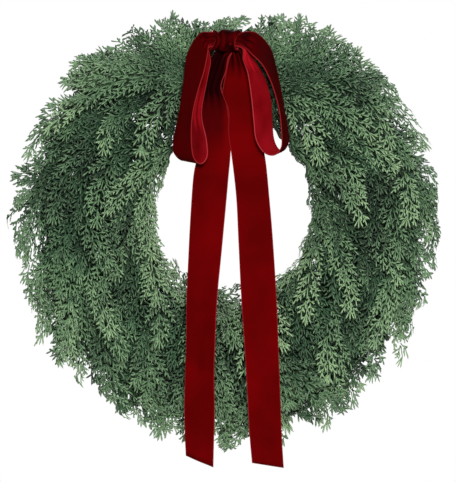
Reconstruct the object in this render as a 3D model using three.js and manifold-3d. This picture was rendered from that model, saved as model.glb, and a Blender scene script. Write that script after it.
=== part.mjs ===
// A cedar wreath with a velvet bow, as it hangs on a door. Millimetres, +Z up, the front towards -Y.
// The origin is where a hook carries it: under the top of the wire frame's outer rail.
// Sprays of cedar are wired round the frame, each with up to three fronds. They are combed like hair:
// along the ring on its upper half and straight down below, each lying over the roots of the next.
import * as THREE from "three";
import { mergeVertices } from "three/addons/utils/BufferGeometryUtils.js";
import Module from "manifold-3d";

const wasm = await Module();
wasm.setup();

const DEGREE = Math.PI / 180;
const GAP = 0.3; // between pieces that touch

// The wire frame: two rails joined by cross wires
const OUTER_RAIL = 203;
const INNER_RAIL = 165;
const WIRE = 4;
const RAIL_STEPS = 24;
const CROSS_WIRES = 6;
const CROSS_WIRE_RADIUS = 1.8;

// The foliage's body: a ring of oval section that the outermost fronds lie on
const BODY_RADIUS = 202;
const BODY_HALF_WIDTH = 94;
const BODY_HALF_DEPTH = 80;
const BODY_AXIS_Y = -36;
const BACKMOST = -5; // the fronds stay in front of this, clear of the wall
const HANGS_FREE_PAST = 75 * DEGREE; // round the section, where a frond leaves the body and hangs
const FACING = 0.55; // how far blades turn with the section, which keeps them flat to the front

// Sprays: rows round the section from the hole outwards. Each has the angle from the front at which its
// sprays fork where they run along the ring, what they lean out, how far out of the section's middle they
// fork, where the first and the last fork in degrees from the top, and their number on each side
const ROWS = [
  { name: "crown", side: 15, lean: 48, fill: 0.5, first: 3, last: 22, count: 2 },
  { name: "hole", side: -62, lean: 0, fill: 0.9, first: 30, last: 164, count: 4 },
  { name: "inner", side: -20, lean: 0, fill: 0.5, first: 10, last: 172, count: 6 },
  { name: "outer", side: 22, lean: 0, fill: 0.5, first: 26, last: 174, count: 7 },
  { name: "edge", side: 66, lean: 0, fill: 0.5, first: 27, last: 172, count: 7 },
];
// Degrees outwards from the ring's own direction that the foliage is combed to
const COMBED_ALL_ROUND = 4;
const COMBED_ABOVE = 10;
const COMBED_ABOVE_AT_RIM = 18; // on top of that, at the rim
const COMBED_AT_PARTING = 50; // at the top, where the foliage parts to both sides
const PARTING = 14 * DEGREE;
const FORK_SHIFT = 50; // degrees that a fork lies further in where the foliage is combed outwards
const INMOST_FORK = -100;
const SPRAY_LENGTH = 185;
const TOP_REACH = 20; // how far tips hang past the body
const SIDE_REACH = 12;
const BOTTOM_REACH = 72;
const STEM_RADIUS = 2.6;
const SEAT_LENGTH = 16; // of stem that lies on the rail
const STEM_RUN = 40; // along the ring from the seat to the fork
const STEM_ENDS = 5; // past the fork
const STEM_BULGE = 3; // outwards, half way from the seat to the fork
const STEM_APART = 3; // left at the top between the stems of both sides
const STEM_TAPER = [1, 1, 0.95, 0.9, 0.8];
const FRONDS = [
  { lean: 0, length: 1, rise: 6 },
  { lean: -23, length: 0.82, rise: 0 },
  { lean: 23, length: 0.82, rise: 0 },
];
const BLADE = 1.6; // thickness
const RIB_HALF = 2.2;
const ROOT_HALF = 1.5;
const TIP = 0.55; // of a pitch, that the rib goes on past the last side branches
const LIFTED_BY = 0.4; // of the rib, where a lifted frond has its full lift
const SHORTEST = 90;
const SHORTENING = 0.95; // in each step, where a frond would hang too far
const PITCH = 27; // from one pair of side branches to the next
const TOOTH_LENGTH = 39;
const TOOTH_ANGLE = 44 * DEGREE;
const TOOTH_FROM = 0.4; // of a pitch, where the middle of a side branch leaves the rib
const TOOTH_TAPER = 0.72; // of their length, that side branches lose towards the tip
const TOOTH_ROUNDING = 2.2; // the power that keeps them long until near it
const TOOTH_SHARE = 0.3; // the power of the frond's length that side branches follow
const ALTERNATION = 0.12; // how much further on the left side branches reach than the right ones
const CLEAR = 0.6; // left round each frond on both faces
const ARCH = 0.1; // how far side branches bend back, as a share of their length
const ENOUGH = 2.1; // times the length, that a spray's fronds should have in all
// What a spray is tried with until it crosses nothing: its fork's place round the ring and round the
// section in degrees, its stem's seat, and each frond's share of its length, turn in degrees and lift
const TURN_NUDGES = [0, 3, -3, 6, -6, 9, -9];
const SIDE_NUDGES = [0, 12, -12, 24, -24, 36];
const SHIFTS = [0, 8, -8, 16, -16, 24, -24, 32, 40];
const CUTS = [1, 0.86, 0.72];
const SWAYS = [0, 5, -5, 10, -10];
const BENDS = [0, 5, -5, 10, -10, 15, -15, 20];

// The bow, in 2-inch ribbon. Heights are above the ring's centre
const RIBBON = 1.2;
const RING_CENTRE = new THREE.Vector3(0, 0, WIRE / 2 - OUTER_RAIL);

// Stations of the loops' ribbon: its front edge, then its back edge, from the knot round each loop
const LEFT_LOOP = [
  [-7, -166, 241, -7, -156, 259],
  [-26, -166, 241, -27, -155, 259],
  [-29, -168, 231, -42, -138, 256],
  [-34, -168, 205, -58, -130, 228],
  [-43, -169, 176, -63, -128, 190],
  [-50, -169, 146, -69, -128, 150],
  [-52, -168, 115, -77, -128, 108],
  [-49, -166, 86, -76, -128, 91],
  [-39, -165, 76, -64, -128, 81],
  [-30, -164, 86, -52, -128, 91],
  [-31, -164, 110, -54, -128, 114],
  [-38, -163, 146, -56, -128, 148],
  [-31, -162, 190, -47, -128, 188],
  [-26, -161, 217, -36, -133, 218],
  [-28, -160, 230, -31, -145, 244],
  [-26, -160, 238, -26, -149, 253],
];
const RIGHT_LOOP = [
  [16, -160, 238, 16, -149, 253],
  [20, -162, 220, 34, -134, 222],
  [26, -164, 200, 50, -128, 195],
  [31, -165, 165, 58, -127, 165],
  [34, -165, 134, 60, -127, 136],
  [37, -164, 110, 62, -127, 112],
  [47, -163, 93, 68, -126, 98],
  [61, -163, 88, 76, -125, 95],
  [72, -165, 98, 83, -125, 108],
  [73, -168, 118, 81, -125, 130],
  [70, -170, 148, 76, -125, 156],
  [64, -170, 172, 72, -125, 180],
  [57, -169, 192, 65, -126, 212],
  [46, -168, 213, 57, -127, 238],
  [31, -167, 228, 38, -138, 258],
  [16, -166, 241, 16, -155, 259],
  [0, -166, 241, 0, -156, 259],
];
// Stations of the tails' ribbon: its left edge, then its right edge, from one end to the other
const TAILS = [
  [-60, -131, -332, -22, -140, -348],
  [-62, -132, -270, -20, -142, -270],
  [-60, -133, -190, -20, -144, -190],
  [-58, -134, -100, -15, -144, -100],
  [-55, -136, -20, -10, -144, -20],
  [-50, -138, 55, -2, -142, 55],
  [-42, -139, 88, -1, -141, 88],
  [-38, -140, 115, -1, -140, 115],
  [-30, -141, 165, -3, -139, 165],
  [-22, -141, 205, -4, -139, 205],
  [-15, -141, 232, -1, -139, 222],
  [4, -142.1, 247, 4, -138, 230],
  [17, -139, 232, 5, -137, 222],
  [24, -139, 205, 3, -137, 200],
  [27, -139, 165, 3, -137, 160],
  [36, -139, 120, 3, -137, 120],
  [50, -139, 80, 6, -137, 80],
  [54, -139, 30, 10, -138, 30],
  [59, -138, -30, 13, -138, -30],
  [65, -137, -110, 18, -138, -110],
  [69, -136, -200, 23, -138, -200],
  [73, -135, -290, 28, -138, -290],
  [77, -134, -350, 32, -138, -343],
];
const TAILS_TOP = 11; // the station at the tails' fold
const KNOT = { x: -5, z: 247, halfHeight: 15, width: 40, front: -172, back: -143, wall: 1.6 };
const KNOT_SIDES = 12;
const TIE_RADIUS = 1.3;
// The tying wire's way from behind the tails' fold back to the rail, each step backwards and upwards
const TIE_WAY = [
  [0, -4],
  [0, 10],
  [16, 13],
  [76, -2],
];
const TIE_ON_RAIL = [
  [-12, 1],
  [1, 0],
];

const vector = (x, y, z) => new THREE.Vector3(x, y, z);

// A repeatable draw from -1 to 1
function draw(seed) {
  const x = Math.sin(seed * 12.9898) * 43758.5453;
  return 2 * (x - Math.floor(x)) - 1;
}

function solidOf(geometry) {
  const bare = geometry.clone();
  bare.deleteAttribute("normal");
  bare.deleteAttribute("uv");
  const merged = mergeVertices(bare, 1e-4);
  return new wasm.Manifold(
    new wasm.Mesh({
      numProp: 3,
      vertProperties: new Float32Array(merged.attributes.position.array),
      triVerts: new Uint32Array(merged.index.array),
    }),
  );
}

function geometryOf(solid) {
  const mesh = solid.getMesh();
  const geometry = new THREE.BufferGeometry();
  geometry.setAttribute("position", new THREE.BufferAttribute(mesh.vertProperties, mesh.numProp));
  geometry.setIndex(new THREE.BufferAttribute(mesh.triVerts, 1));
  return geometry;
}

function joined(solids) {
  return solids.reduce((whole, solid) => whole.add(solid));
}

// A join without the slivers it can leave beside its main body
function mainBody(solid) {
  return solid.decompose().reduce((main, body) => (body.volume() > main.volume() ? body : main));
}

function geometryFrom(points, triangles) {
  const geometry = new THREE.BufferGeometry();
  geometry.setAttribute(
    "position",
    new THREE.Float32BufferAttribute(points.flatMap((p) => [p.x, p.y, p.z]), 3),
  );
  geometry.setIndex(triangles.flat());
  return geometry;
}

// Rings of as many points each, joined one to the next and capped at both ends
function loft(rings) {
  const n = rings[0].length;
  const triangles = [];
  for (let ring = 0; ring + 1 < rings.length; ring++)
    for (let i = 0; i < n; i++) {
      const a = ring * n + i;
      const b = ring * n + ((i + 1) % n);
      triangles.push([a, b, b + n], [a, b + n, a + n]);
    }
  const last = (rings.length - 1) * n;
  for (let i = 1; i + 1 < n; i++) triangles.push([0, i + 1, i], [last, last + i, last + i + 1]);
  return geometryFrom(rings.flat(), triangles);
}

// A round bar along points, its section turned so that one corner pair follows the way out
function bar(points, radii, sides, outOf) {
  const rings = points.map((point, k) => {
    const ahead = points[Math.min(k + 1, points.length - 1)];
    const behind = points[Math.max(k - 1, 0)];
    const along = ahead.clone().sub(behind).normalize();
    const across = along.clone().cross(outOf).normalize();
    const up = across.clone().cross(along);
    return Array.from({ length: sides }, (_, i) => {
      const angle = (2 * Math.PI * (i + 0.5)) / sides;
      return point
        .clone()
        .addScaledVector(across, -radii[k] * Math.cos(angle))
        .addScaledVector(up, radii[k] * Math.sin(angle));
    });
  });
  return loft(rings);
}

// A ribbon through stations that each give both edges
function ribbon(stations) {
  const edges = stations.map(([ax, ay, az, bx, by, bz]) => [vector(ax, ay, az), vector(bx, by, bz)]);
  const middle = (k) => edges[k][0].clone().add(edges[k][1]).multiplyScalar(0.5);
  const rings = edges.map(([front, back], k) => {
    const along = middle(Math.min(k + 1, edges.length - 1)).sub(middle(Math.max(k - 1, 0)));
    const face = back.clone().sub(front).cross(along).normalize().multiplyScalar(RIBBON / 2);
    return [
      front.clone().add(face),
      back.clone().add(face),
      back.clone().sub(face),
      front.clone().sub(face),
    ];
  });
  return solidOf(loft(rings));
}

// The frame
function rail(radius) {
  const circumradius = WIRE / 2 / Math.cos(30 * DEGREE);
  return solidOf(new THREE.TorusGeometry(radius, circumradius, 6, RAIL_STEPS).rotateX(90 * DEGREE));
}

function crossWire(turn) {
  const at = (radius) => vector(radius * Math.sin(turn), 0, radius * Math.cos(turn));
  const ends = [at(INNER_RAIL), at(OUTER_RAIL)];
  return solidOf(bar(ends, [CROSS_WIRE_RADIUS, CROSS_WIRE_RADIUS], 6, vector(0, 1, 0)));
}

function wireFrame() {
  const wires = [rail(OUTER_RAIL), rail(INNER_RAIL)];
  for (let i = 0; i < CROSS_WIRES; i++) wires.push(crossWire(((i + 0.25) * 2 * Math.PI) / CROSS_WIRES));
  return joined(wires);
}

// The bow
function bowKnot() {
  const oval = (inset) => {
    const halfDepth = (KNOT.back - KNOT.front) / 2 - inset;
    return Array.from({ length: KNOT_SIDES }, (_, i) => {
      const angle = (2 * i * Math.PI) / KNOT_SIDES;
      return [halfDepth * Math.cos(angle), (KNOT.halfHeight - inset) * Math.sin(angle)];
    });
  };
  const tube = (inset, width) =>
    solidOf(
      loft(
        [-width / 2, width / 2].map((x) =>
          oval(inset).map(([y, z]) => vector(KNOT.x + x, (KNOT.front + KNOT.back) / 2 + y, KNOT.z + z)),
        ),
      ),
    );
  return tube(0, KNOT.width).subtract(tube(KNOT.wall, 2 * KNOT.width));
}

// The wire that ties the bow on: from behind the tails back to the frame, and round its outer rail
function bowTie() {
  const [x, , , , y, z] = TAILS[TAILS_TOP];
  const behindTails = y + RIBBON / 2 + GAP + TIE_RADIUS;
  const onRail = OUTER_RAIL + WIRE / 2 + GAP + TIE_RADIUS;
  const path = [
    ...TIE_WAY.map(([back, up]) => vector(x, behindTails + back, z + up)),
    ...TIE_ON_RAIL.map(([back, up]) => vector(x, back, onRail + up)),
  ];
  return solidOf(bar(path, path.map(() => TIE_RADIUS), 5, vector(1, 0, 0)));
}

// The foliage's body. A place on it has a turn round the ring from its top, clockwise from the front,
// a side, the angle round the section from the front outwards, and a reach, how far it hangs past it
function bodyPoint(place, fill) {
  const radius = BODY_RADIUS + fill * BODY_HALF_WIDTH * Math.sin(place.side) + place.reach;
  const y = BODY_AXIS_Y - fill * BODY_HALF_DEPTH * Math.cos(place.side);
  return vector(radius * Math.sin(place.turn), y, radius * Math.cos(place.turn));
}

function wayOut(place) {
  const radial = Math.sin(place.side) / BODY_HALF_WIDTH;
  const forward = Math.cos(place.side) / BODY_HALF_DEPTH;
  return vector(radial * Math.sin(place.turn), -forward, radial * Math.cos(place.turn)).normalize();
}

// The way a blade faces: half way from the front to the way out
function facing(place) {
  const angle = FACING * place.side;
  const radial = Math.sin(angle);
  return vector(radial * Math.sin(place.turn), -Math.cos(angle), radial * Math.cos(place.turn));
}

// The angle that the foliage is combed to, which is straight down on the ring's lower half
function combing(place) {
  const away = Math.abs(place.turn);
  if (away > Math.PI / 2) return away - Math.PI / 2 + COMBED_ALL_ROUND * DEGREE;
  const above = COMBED_ABOVE + COMBED_ABOVE_AT_RIM * Math.sin(place.side) + place.lean;
  const parting = COMBED_AT_PARTING * Math.exp(-((away / PARTING) ** 2));
  return (COMBED_ALL_ROUND + above * Math.cos(away) ** 2 + parting) * DEGREE;
}

function stepped(place, distance, fill, lean) {
  const angle = combing(place) + lean;
  const width = BODY_HALF_WIDTH * fill;
  const radius = BODY_RADIUS + width * Math.sin(place.side) + place.reach;
  const section = Math.hypot(width * Math.cos(place.side), BODY_HALF_DEPTH * fill * Math.sin(place.side));
  const outwards = distance * Math.sin(angle);
  const free = place.side > HANGS_FREE_PAST && outwards > 0;
  return {
    ...place,
    turn: place.turn + (place.hand * distance * Math.cos(angle)) / radius,
    side: place.side + (free ? 0 : outwards / section),
    reach: place.reach + (free ? outwards : 0),
  };
}

// Places along a rib from the fork, each with how far out of the section it lies
function ribPlaces(fork, length, lean) {
  const steps = Math.round(length / PITCH);
  const places = [fork];
  for (let k = 1; k <= steps; k++) {
    const share = ((k / steps) * length) / SPRAY_LENGTH;
    const fill = fork.fill + (1 - fork.fill) * share;
    places.push({ ...stepped(places[k - 1], length / steps, fill, lean), fill });
  }
  return places;
}

// How far tips may hang past the body
function allowedReach(turn) {
  const down = -Math.cos(turn);
  if (down > 0) return SIDE_REACH + down ** 2 * (BOTTOM_REACH - SIDE_REACH);
  return SIDE_REACH - down * (TOP_REACH - SIDE_REACH);
}

// The length at which a frond's tip hangs no further than it may
function frondLength(frond, fork, lean, spread) {
  let length = SPRAY_LENGTH * frond.length * spread;
  for (;;) {
    const tip = ribPlaces(fork, length, lean).at(-1);
    if (tip.reach <= allowedReach(tip.turn) * spread || length < SHORTEST) return length;
    length *= SHORTENING;
  }
}

// A thin sheet closed to a solid: both faces alike, and walls along its outline
function thickened(sheet, thickness) {
  const n = sheet.points.length;
  const both = [1, -1].flatMap((sign) =>
    sheet.points.map(({ at, way }) => at.clone().addScaledVector(way, (sign * thickness) / 2)),
  );
  const triangles = sheet.triangles.flatMap(([a, b, c]) => [
    [a, b, c],
    [a + n, c + n, b + n],
  ]);
  sheet.outline.forEach((a, i) => {
    const b = sheet.outline[(i + 1) % sheet.outline.length];
    triangles.push([a + n, b + n, b], [a + n, b, a]);
  });
  return geometryFrom(both, triangles);
}

// A frond past its first step: a sheet bent along its rib and cut to it into side branches
function frondSheet(fork, length, lean, rise) {
  const places = ribPlaces(fork, length, lean);
  const steps = places.length - 1;
  const ways = places.map(facing);
  const ribs = places.map((place, k) => {
    const lift = rise * Math.min(1, k / steps / LIFTED_BY);
    return bodyPoint(place, place.fill).addScaledVector(wayOut(place), lift);
  });
  const points = [];
  const put = (at, k) => points.push({ at, way: ways[k] }) - 1;
  const beside = (k, sign) => {
    const along = ribs[k + 1].clone().sub(ribs[k]).normalize();
    const across = ways[k].clone().cross(along).normalize();
    return { along, side: (width) => ribs[k].clone().addScaledVector(across, sign * width), across };
  };
  const edge = (sign) => {
    const rib = [];
    const tips = [];
    for (let k = 1; k < steps; k++) {
      const { along, side, across } = beside(k, sign);
      rib.push(put(side(RIB_HALF), k));
      if (k === steps - 1) continue;
      const taper = 1 - TOOTH_TAPER * (k / (steps - 1)) ** TOOTH_ROUNDING;
      const tooth = TOOTH_LENGTH * taper * (length / SPRAY_LENGTH) ** TOOTH_SHARE;
      const tip = ribs[k]
        .clone()
        .lerp(ribs[k + 1], TOOTH_FROM)
        .addScaledVector(across, sign * tooth * Math.sin(TOOTH_ANGLE))
        .addScaledVector(along, tooth * Math.cos(TOOTH_ANGLE) * (1 + ALTERNATION * sign))
        .addScaledVector(ways[k], -ARCH * tooth);
      tips.push(put(tip, k));
    }
    return { rib, tips };
  };
  const right = edge(-1);
  const left = edge(1);
  const end = put(ribs[steps - 1].clone().lerp(ribs[steps], TIP), steps);
  const triangles = [[right.rib.at(-1), end, left.rib.at(-1)]];
  right.tips.forEach((tip, k) => {
    const [a, b, c, d] = [right.rib[k], right.rib[k + 1], left.rib[k + 1], left.rib[k]];
    triangles.push([a, b, c], [a, c, d], [d, c, left.tips[k]], [a, tip, b]);
  });
  const outline = right.rib.flatMap((point, k) => [point, ...right.tips.slice(k, k + 1)]);
  outline.push(end, left.rib.at(-1));
  for (let k = left.tips.length - 1; k >= 0; k--) outline.push(left.tips[k], left.rib[k]);
  return { points, triangles, outline, from: [right.rib[0], left.rib[0]] };
}

// A spray's fronds, from the right one to the left one, joined at their fork in one sheet
function forkedSheet(fork, fronds) {
  const way = facing(fork);
  const root = bodyPoint(fork, fork.fill);
  const ahead = bodyPoint(stepped(fork, STEM_ENDS, fork.fill, 0), fork.fill);
  const across = way.clone().cross(ahead.sub(root)).normalize();
  const points = [];
  const triangles = [];
  const first = fronds.map((frond) => {
    const before = points.length;
    points.push(...frond.points);
    triangles.push(...frond.triangles.map((face) => face.map((i) => i + before)));
    return before;
  });
  const put = (at) => points.push({ at, way }) - 1;
  const rootRight = put(root.clone().addScaledVector(across, -ROOT_HALF));
  const rootLeft = put(root.clone().addScaledVector(across, ROOT_HALF));
  const notches = fronds.slice(1).map((frond, i) => {
    const before = fronds[i].points[fronds[i].from[1]].at;
    const next = frond.points[frond.from[0]].at;
    return put(before.clone().add(next).multiplyScalar(0.5).lerp(root, 0.5));
  });
  const base = [rootRight, ...notches, rootLeft];
  const outline = fronds.flatMap((frond, i) => {
    const [right, left] = frond.from.map((point) => point + first[i]);
    triangles.push([base[i], right, left], [base[i], left, base[i + 1]]);
    return [base[i], ...frond.outline.map((point) => point + first[i])];
  });
  outline.push(rootLeft);
  for (let i = 1; i + 1 < base.length; i++) triangles.push([rootRight, base[i], base[i + 1]]);
  return { points, triangles, outline };
}

// The stem: along the front of a rail, then out to the fork
function sprayStem(fork, shift, radius) {
  const root = bodyPoint(fork, fork.fill);
  const out = wayOut(fork);
  const railRadius = Math.hypot(root.x, root.z) < (OUTER_RAIL + INNER_RAIL) / 2 ? INNER_RAIL : OUTER_RAIL;
  const room = Math.abs(fork.turn) * railRadius - SEAT_LENGTH - STEM_APART;
  const run = Math.min(STEM_RUN * Math.cos(combing(fork)) + shift, room);
  const onRail = (behind) => {
    const turn = fork.turn - (fork.hand * (run + behind)) / railRadius;
    const y = -(WIRE / 2 + GAP + STEM_RADIUS * Math.SQRT1_2);
    return vector(railRadius * Math.sin(turn), y, railRadius * Math.cos(turn));
  };
  const seat = onRail(0);
  const ahead = bodyPoint(stepped(fork, STEM_ENDS, fork.fill, 0), fork.fill);
  const middle = seat.clone().lerp(root, 0.5).addScaledVector(out, STEM_BULGE);
  const path = [onRail(SEAT_LENGTH), seat, middle, root, ahead];
  return bar(path, STEM_TAPER.map((share) => share * radius), 4, vector(0, -1, 0));
}

// A geometry's triangles, each with its box
function facesOf(geometry) {
  const { position } = geometry.attributes;
  const corner = (i) => vector(0, 0, 0).fromBufferAttribute(position, geometry.index.getX(i));
  const faces = [];
  for (let i = 0; i < geometry.index.count; i += 3) {
    const corners = [corner(i), corner(i + 1), corner(i + 2)];
    faces.push({ corners, box: new THREE.Box3().setFromPoints(corners) });
  }
  return faces;
}

const ray = new THREE.Ray();
const hit = vector(0, 0, 0);

// Whether an edge of one triangle goes through the other
function pierces(face, other) {
  return face.corners.some((from, i) => {
    ray.origin.copy(from);
    ray.direction.copy(face.corners[(i + 1) % 3]).sub(from);
    const length = ray.direction.length();
    ray.direction.divideScalar(length);
    return ray.intersectTriangle(...other.corners, false, hit) && hit.distanceTo(from) < length;
  });
}

// A shape to test crossings against
function obstacle(faces) {
  return { faces, box: new THREE.Box3().setFromPoints(faces.flatMap((face) => face.corners)) };
}

// Whether any of a shape's faces crosses any of the others
function crosses(faces, others) {
  const { box } = obstacle(faces);
  for (const other of others) {
    if (!other.box.intersectsBox(box)) continue;
    const near = other.faces.filter((face) => face.box.intersectsBox(box));
    for (const face of faces)
      for (const next of near)
        if (face.box.intersectsBox(next.box) && (pierces(face, next) || pierces(next, face))) return true;
  }
  return false;
}

// A frond in the first length, turn and lift at which it crosses nothing placed and no frond of its spray
function clearFrond(frond, fork, spread, sisters) {
  for (const cut of CUTS)
    for (const sway of SWAYS) {
      const lean = (frond.lean + sway) * DEGREE;
      const length = cut * frondLength(frond, fork, lean, spread);
      for (const bend of BENDS) {
        const sheet = frondSheet(fork, length, lean, frond.rise + bend);
        const faces = facesOf(thickened(sheet, BLADE + 2 * CLEAR));
        if (obstacle(faces).box.max.y > BACKMOST) continue;
        if (crosses(faces, placed) || crosses(faces, sisters)) continue;
        sisters.push(obstacle(facesOf(thickened(sheet, BLADE))));
        return [{ order: lean * fork.hand, length, sheet }];
      }
    }
  return [];
}

// A spray that forks at a place, with the length of its fronds in all
function sprayAt(fork, spread) {
  const stemFaces = (shift) => facesOf(sprayStem(fork, shift, STEM_RADIUS + GAP / 2));
  const shift = SHIFTS.find((s) => !crosses(stemFaces(s), placed));
  if (shift === undefined) return { total: 0 };
  const sisters = [];
  const fronds = FRONDS.flatMap((frond) => clearFrond(frond, fork, spread, sisters));
  if (fronds.length === 0) return { total: 0 };
  fronds.sort((a, b) => a.order - b.order);
  const sheet = forkedSheet(fork, fronds.map((frond) => frond.sheet));
  if (crosses(facesOf(thickened(sheet, BLADE + CLEAR)), placed)) return { total: 0 };
  const total = fronds.reduce((sum, frond) => sum + frond.length, 0);
  return { total, shapes: [sprayStem(fork, shift, STEM_RADIUS), thickened(sheet, BLADE)] };
}

function spray(row, index, hand) {
  const seed = index * 7.31 + row.side + hand;
  const step = (row.last - row.first) / Math.max(1, row.count - (hand > 0 ? 1 : 0.5));
  const spread = 1 + 0.07 * draw(seed + 2);
  const side = row.side + 5 * draw(seed + 1);
  let best = { total: 0 };
  for (const sideNudge of SIDE_NUDGES)
    for (const turnNudge of TURN_NUDGES) {
      if (best.total > ENOUGH * SPRAY_LENGTH) continue;
      const turn = Math.max(row.first, row.first + step * index + 1.5 * draw(seed) + turnNudge);
      const { lean, fill } = row;
      const fork = { hand, turn: hand * turn * DEGREE, side: side * DEGREE, reach: 0, lean, fill };
      const inwards = FORK_SHIFT * Math.max(0, Math.sin(combing(fork)));
      fork.side = Math.max(INMOST_FORK, side + sideNudge - inwards) * DEGREE;
      const tried = sprayAt(fork, spread);
      if (tried.total > best.total) best = tried;
    }
  return best.shapes && mainBody(joined(best.shapes.map(solidOf)));
}

// The whole
const wreath = new THREE.Group();
wreath.position.copy(RING_CENTRE);
const cedar = new THREE.MeshStandardMaterial({ color: 0x5f7d5c, roughness: 0.75, metalness: 0 });
const velvet = new THREE.MeshStandardMaterial({ color: 0x6a0509, roughness: 0.9, metalness: 0 });
const wire = new THREE.MeshStandardMaterial({ color: 0x2e3d2c, roughness: 0.5, metalness: 0.6 });
const placed = [];

function place(name, solid, material) {
  const geometry = geometryOf(solid);
  const mesh = new THREE.Mesh(geometry, material);
  mesh.name = name;
  wreath.add(mesh);
  placed.push(obstacle(facesOf(geometry)));
}

place("wire_frame", wireFrame(), wire);
place("bow_tails", ribbon(TAILS), velvet);
place("bow_loops", ribbon([...LEFT_LOOP, ...RIGHT_LOOP]), velvet);
place("bow_knot", bowKnot(), velvet);
place("bow_tie", bowTie(), wire);
for (const row of ROWS)
  for (let index = 0; index < row.count; index++)
    for (const hand of [1, -1]) {
      const solid = spray(row, index, hand);
      const name = "cedar_" + row.name + (hand > 0 ? "_right_" : "_left_") + (index + 1);
      if (solid) place(name, solid, cedar);
    }

export default wreath;
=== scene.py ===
"""A cedar wreath with a velvet bow, as it hangs on a door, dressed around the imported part.

The frame is the part's: metres, +Z up, the front towards -Y, the origin at the hook under the top of the
wire frame's outer rail. Shapes are worked out in millimetres from the ring's centre, as in the part.
"""
import math
from collections import namedtuple

import bpy
import numpy as np
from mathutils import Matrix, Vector, kdtree


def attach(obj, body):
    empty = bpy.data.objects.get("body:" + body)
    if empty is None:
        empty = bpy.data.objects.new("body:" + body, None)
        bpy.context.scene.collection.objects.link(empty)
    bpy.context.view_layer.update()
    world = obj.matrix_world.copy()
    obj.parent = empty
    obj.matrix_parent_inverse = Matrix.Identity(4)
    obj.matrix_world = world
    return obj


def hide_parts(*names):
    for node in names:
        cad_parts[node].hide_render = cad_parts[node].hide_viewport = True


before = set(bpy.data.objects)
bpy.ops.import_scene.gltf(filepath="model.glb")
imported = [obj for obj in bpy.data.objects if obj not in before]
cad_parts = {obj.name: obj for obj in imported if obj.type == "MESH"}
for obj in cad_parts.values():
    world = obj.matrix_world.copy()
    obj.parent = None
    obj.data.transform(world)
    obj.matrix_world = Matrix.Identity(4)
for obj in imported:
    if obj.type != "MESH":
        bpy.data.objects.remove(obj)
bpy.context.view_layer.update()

MM = 0.001
RING_CENTRE = np.array((0.0, 0.0, -201.0))
DEGREE = math.pi / 180
rng = np.random.default_rng(24)

# The wire frame
OUTER_RAIL = 203
INNER_RAIL = 165
WIRE = 4
CROSS_WIRES = 6
CROSS_WIRE_RADIUS = 1.8

# The foliage's body round the rails and the rows of sprays on it, as in the part
BODY_RADIUS = 202
BODY_HALF_WIDTH = 94
BODY_HALF_DEPTH = 80
BODY_AXIS_Y = -36
HANGS_FREE_PAST = 75 * DEGREE
FACING = 0.55
Row = namedtuple("Row", "side lean fill first last count")  # the angles in degrees
ROWS = {
    "crown": Row(15, 48, 0.5, 3, 22, 2),
    "hole": Row(-62, 0, 0.9, 30, 164, 4),
    "inner": Row(-20, 0, 0.5, 10, 172, 6),
    "outer": Row(22, 0, 0.5, 26, 174, 7),
    "edge": Row(66, 0, 0.5, 27, 172, 7),
}
COMBED_ALL_ROUND = 4  # how far, in degrees, foliage is combed away from the ring's own direction
COMBED_ABOVE = 10
COMBED_ABOVE_AT_RIM = 18
COMBED_AT_PARTING = 50
PARTING = 14 * DEGREE
FORK_SHIFT = 50  # how much further in a fork lies whose fronds hang outwards, in degrees
INMOST_FORK = -100
SPRAY_LENGTH = 185
TOP_REACH = 20  # how far fronds may reach past the body
SIDE_REACH = 12
BOTTOM_REACH = 72
STEM_RADIUS = 2.6
SEAT_LENGTH = 16
STEM_RUN = 40
STEM_ENDS = 5
STEM_BULGE = 3
STEM_APART = 3
STEM_TAPER = (1, 1, 0.95, 0.9, 0.8)
GAP = 0.3
Frond = namedtuple("Frond", "lean length rise")
FRONDS = (Frond(0, 1, 6), Frond(-23, 0.82, 0), Frond(23, 0.82, 0))
BLADE = 1.6
TIP = 0.55
LIFTED_BY = 0.4
SHORTEST = 90
SHORTENING = 0.95
PITCH = 27

# What the part tries in turn for each spray, until it clears its neighbours
TURN_NUDGES = (0, 3, -3, 6, -6, 9, -9)
SIDE_NUDGES = (0, 12, -12, 24, -24, 36)
SHIFTS = (0, 8, -8, 16, -16, 24, -24, 32, 40)
CUTS = (1, 0.86, 0.72)
SWAYS = (0, 5, -5, 10, -10)
BENDS = (0, 5, -5, 10, -10, 15, -15, 20)
MATCHES_WITHIN = 0.05  # of the part's own points
LIKELY_FORKS = 4  # the best of the forks, whose fronds are then tried

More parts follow.
